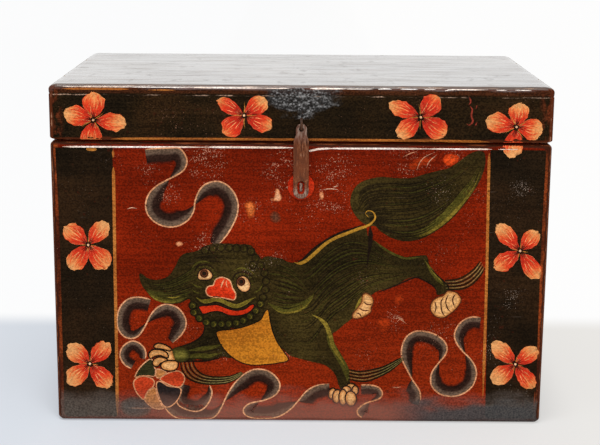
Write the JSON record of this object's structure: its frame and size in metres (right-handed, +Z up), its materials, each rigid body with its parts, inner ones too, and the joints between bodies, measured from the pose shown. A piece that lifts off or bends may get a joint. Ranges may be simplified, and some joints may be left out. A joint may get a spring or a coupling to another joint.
{
  "type": "storage trunk",
  "caption": "Rectangular painted wooden storage trunk with a back-hinged cap lid and an iron hasp that drops over a lock staple; lion, blossoms and ribbons painted on the front.",
  "frame": {"origin": "middle of the flat base, where the bottom planks meet the floor", "axes": "+X along the length to the viewer's right when facing the front, +Y from the front to the hinged back, +Z up"},
  "size_m": [0.6, 0.3915, 0.42],
  "materials": {
    "red_painted_wood": "old red-brown lacquer paint, worn at the edges",
    "dark_painted_wood": "dark green-black lacquer, glossy on the top",
    "bare_wood": "bare aged softwood",
    "bamboo": "split bamboo pegs",
    "rusty_iron": "forged iron with brown rust",
    "red_plate": "thin iron plate painted red"
  },
  "bodies": {
    "trunk": {"front_board": "red_painted_wood", "back_board": "red_painted_wood", "left_board": "red_painted_wood", "right_board": "red_painted_wood", "bottom_front_plank": "bare_wood", "bottom_middle_plank": "bare_wood", "bottom_back_plank": "bare_wood", "bottom_pegs": "bamboo", "left_hinge_body_leaf": "rusty_iron", "right_hinge_body_leaf": "rusty_iron", "left_hinge_pin": "rusty_iron", "right_hinge_pin": "rusty_iron", "hinge_body_nails": "rusty_iron", "lock_staple": "rusty_iron", "lock_plate": "red_plate"},
    "lid": {"lid_front_rail": "dark_painted_wood", "lid_back_rail": "dark_painted_wood", "lid_left_rail": "dark_painted_wood", "lid_right_rail": "dark_painted_wood", "lid_top_front_plank": "dark_painted_wood", "lid_top_back_plank": "dark_painted_wood", "lid_pegs": "bamboo", "left_hinge_lid_leaf": "rusty_iron", "right_hinge_lid_leaf": "rusty_iron", "hinge_lid_nails": "rusty_iron", "hasp_hanger_pin": "rusty_iron"},
    "hasp": {"hasp_strap": "rusty_iron"}
  },
  "joints": [
    {"name": "lid_hinge", "type": "hinge", "parent": "trunk", "child": "lid", "pos_m": [0, 0.1875, 0.3523], "axis": [-1, 0, 0], "range_deg": [0, 110]},
    {"name": "hasp_swing", "type": "hinge", "parent": "lid", "child": "hasp", "pos_m": [0, -0.19, 0.375], "axis": [-1, 0, 0], "range_deg": [0, 165]}
  ]
}
